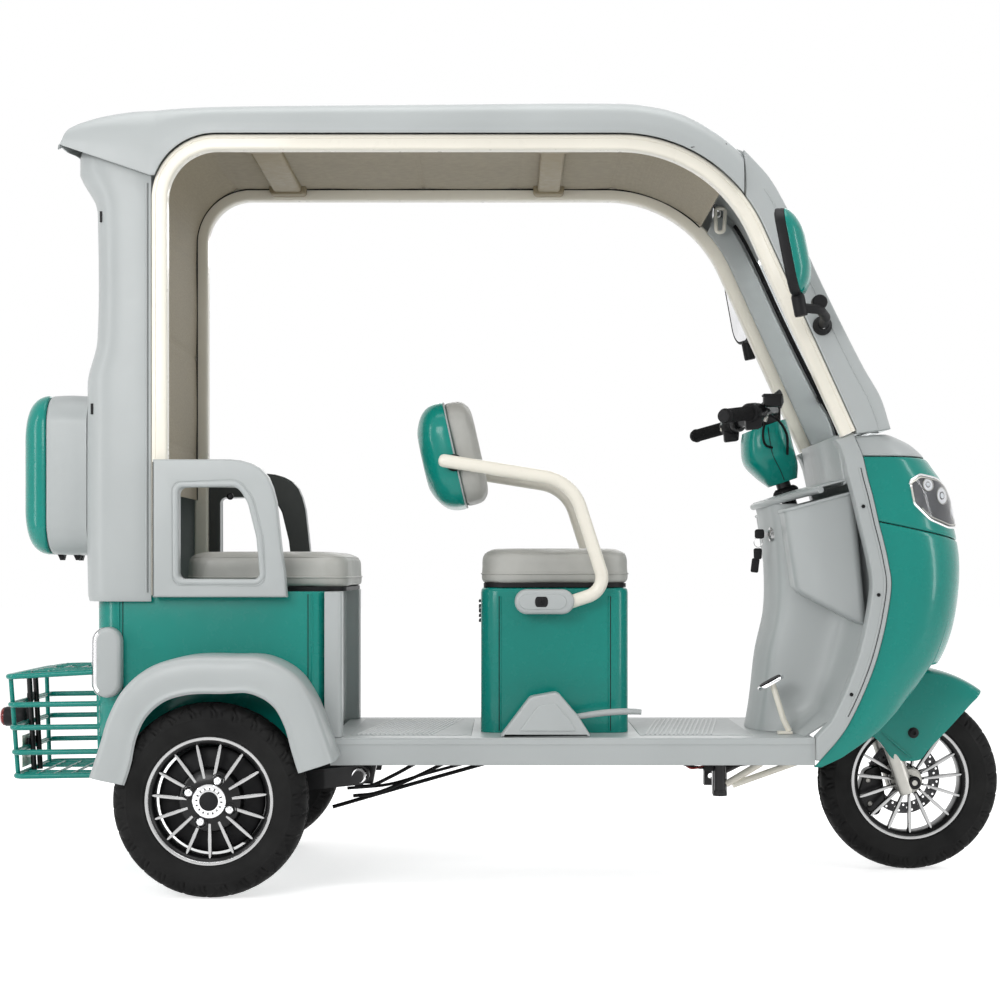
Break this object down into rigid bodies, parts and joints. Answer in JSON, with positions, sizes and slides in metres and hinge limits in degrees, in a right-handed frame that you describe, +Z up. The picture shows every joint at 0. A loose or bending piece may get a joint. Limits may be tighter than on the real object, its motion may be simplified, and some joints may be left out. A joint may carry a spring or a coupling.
{
  "type": "electric auto rickshaw",
  "caption": "Small three-wheeled passenger vehicle with a hooped canopy, driver's pedestal seat, rear bench, trunk and wire basket; it steers, rolls and its seats and trunk open.",
  "frame": {"origin": "middle of the overall box, on the ground", "axes": "+X forward, +Y to the vehicle's left, +Z up"},
  "size_m": [2.348, 1, 1.755],
  "materials": {
    "black_steel": "satin black paint",
    "dark_metal": "cast housing",
    "grey_plastic": "satin moulded plastic",
    "green_panel": "gloss paint on moulded plastic",
    "green_wire": "gloss paint on steel rod",
    "lamp_housing": "satin moulded plastic",
    "beige_lining": "woven lining",
    "cream_paint": "gloss cream paint",
    "clear_glass": "clear sheet",
    "lamp_lens": "clear lens",
    "black_plastic": "textured black plastic",
    "seat_vinyl": "grained grey vinyl",
    "rubber": "moulded rubber",
    "tyre": "black rubber",
    "alloy": "machined and black painted"
  },
  "bodies": {
    "chassis": {"chassis_frame": "black_steel", "frame_crossbars": "black_steel", "front_frame": "black_steel", "rear_axle": "black_steel", "drive_motor": "dark_metal", "floor_pan": "grey_plastic", "rear_seat_box": "green_panel", "seat_front_trim": "grey_plastic", "rear_fenders": "grey_plastic", "tail_lamps": "lamp_housing", "rear_basket": "green_wire", "rear_column": "grey_plastic", "back_lining": "beige_lining", "roof_shell": "grey_plastic", "roof_lining": "beige_lining", "canopy_hoops": "cream_paint", "windscreen_frame": "grey_plastic", "windscreen_glass": "clear_glass", "nose_cowl": "grey_plastic", "nose_panel": "green_panel", "front_shield": "green_panel", "shield_trim": "grey_plastic", "leg_shield": "grey_plastic", "dash_panel": "grey_plastic", "glove_pockets": "grey_plastic", "headlamps": "lamp_lens", "driver_pedestal": "green_panel", "battery_pack": "black_plastic", "arm_housings": "grey_plastic", "backrest_arms": "cream_paint", "backrest_shell": "green_panel", "backrest_pad": "seat_vinyl", "brake_cover": "grey_plastic", "hand_brake_lever": "grey_plastic", "brake_pedal": "cream_paint", "armrests": "grey_plastic", "mirrors": "black_plastic", "trunk_tray": "grey_plastic"},
    "fork": {"front_fork": "cream_paint", "front_mudguard": "green_panel", "handlebar": "black_steel", "handgrips": "rubber", "hand_controls": "black_plastic", "steering_cover": "green_panel"},
    "front_wheel": {"front_tyre": "tyre", "front_rim": "alloy"},
    "rear_wheel_right": {"rear_tyre_right": "tyre", "rear_rim_right": "alloy"},
    "rear_wheel_left": {"rear_tyre_left": "tyre", "rear_rim_left": "alloy"},
    "driver_seat": {"driver_seat_base": "black_plastic", "driver_cushion": "seat_vinyl"},
    "rear_seat": {"rear_seat_base": "black_plastic", "rear_cushion": "seat_vinyl"},
    "trunk_door": {"trunk_lid": "green_panel"}
  },
  "joints": [
    {"name": "steering", "type": "hinge", "parent": "chassis", "child": "fork", "pos_m": [0.908, 0, 0.208], "axis": [-0.3206, 0, 0.9472], "range_deg": [-30, 30]},
    {"name": "front_wheel_spin", "type": "hinge", "parent": "fork", "child": "front_wheel", "pos_m": [0.964, 0, 0.21], "axis": [0, 1, 0], "continuous": true},
    {"name": "rear_wheel_right_spin", "type": "hinge", "parent": "chassis", "child": "rear_wheel_right", "pos_m": [-0.617, -0.41, 0.21], "axis": [0, 1, 0], "continuous": true},
    {"name": "rear_wheel_left_spin", "type": "hinge", "parent": "chassis", "child": "rear_wheel_left", "pos_m": [-0.617, 0.41, 0.21], "axis": [0, 1, 0], "continuous": true},
    {"name": "driver_seat_hinge", "type": "hinge", "parent": "chassis", "child": "driver_seat", "pos_m": [0.305, 0, 0.674], "axis": [0, 1, 0], "range_deg": [0, 75]},
    {"name": "rear_seat_hinge", "type": "hinge", "parent": "chassis", "child": "rear_seat", "pos_m": [-0.709, 0, 0.666], "axis": [0, -1, 0], "range_deg": [0, 70]},
    {"name": "trunk_lid_hinge", "type": "hinge", "parent": "chassis", "child": "trunk_door", "pos_m": [-1.0221, 0, 1.102], "axis": [0, 1, 0], "range_deg": [0, 75]}
  ]
}
